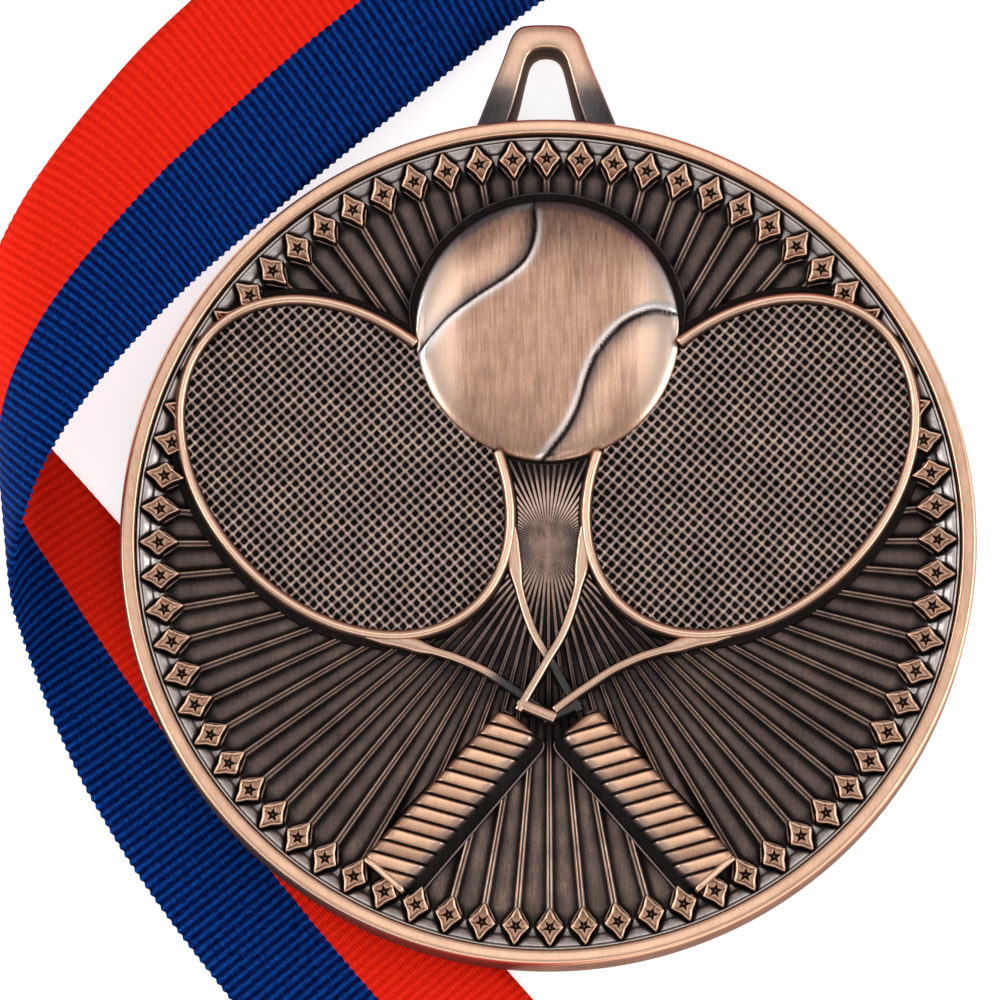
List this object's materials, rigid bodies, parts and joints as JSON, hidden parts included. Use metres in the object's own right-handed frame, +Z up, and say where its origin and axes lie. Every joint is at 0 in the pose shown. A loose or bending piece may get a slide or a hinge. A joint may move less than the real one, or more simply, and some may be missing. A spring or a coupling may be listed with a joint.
{
  "type": "sports finisher medal",
  "caption": "Round cast tennis medal in antique copper with raised rim, crossed rackets, ball, star-tipped rays and a hanger loop, lying on a loose two-colour neck ribbon.",
  "frame": {"origin": "on the medal's axis, on the table that the medal and its ribbon lie on; the ribbon's lie is centred on it", "axes": "+Z up out of the medal's face, +Y to the hanger loop, +X to the right of the face"},
  "size_m": [0.092, 0.1589, 0.0202],
  "materials": {
    "copper_bright": "antique copper plating, polished on the high edges",
    "copper_dark": "antique copper plating, dark patina",
    "ribbon_weave": "woven grosgrain, half red and half blue"
  },
  "bodies": {
    "ribbon": {"ribbon_run": "ribbon_weave", "ribbon_roll": "ribbon_weave"},
    "medal": {"medal_disc": "copper_dark", "edge_rim": "copper_bright", "bead_ring": "copper_bright", "hanger_loop": "copper_bright", "centre_boss": "copper_dark", "ray_ribs": "copper_dark", "star_lozenges": "copper_bright", "tennis_ball": "copper_bright", "left_hoop": "copper_bright", "right_hoop": "copper_bright", "left_string_bed": "copper_dark", "right_string_bed": "copper_dark", "left_throat": "copper_bright", "right_throat": "copper_bright", "left_grip": "copper_bright", "right_grip": "copper_bright", "left_butt_cap": "copper_bright", "right_butt_cap": "copper_bright"}
  },
  "joints": [
    {"name": "medal_lift", "type": "slide", "parent": "ribbon", "child": "medal", "axis": [0, 0, 1], "range_m": [0, 0.04]}
  ]
}
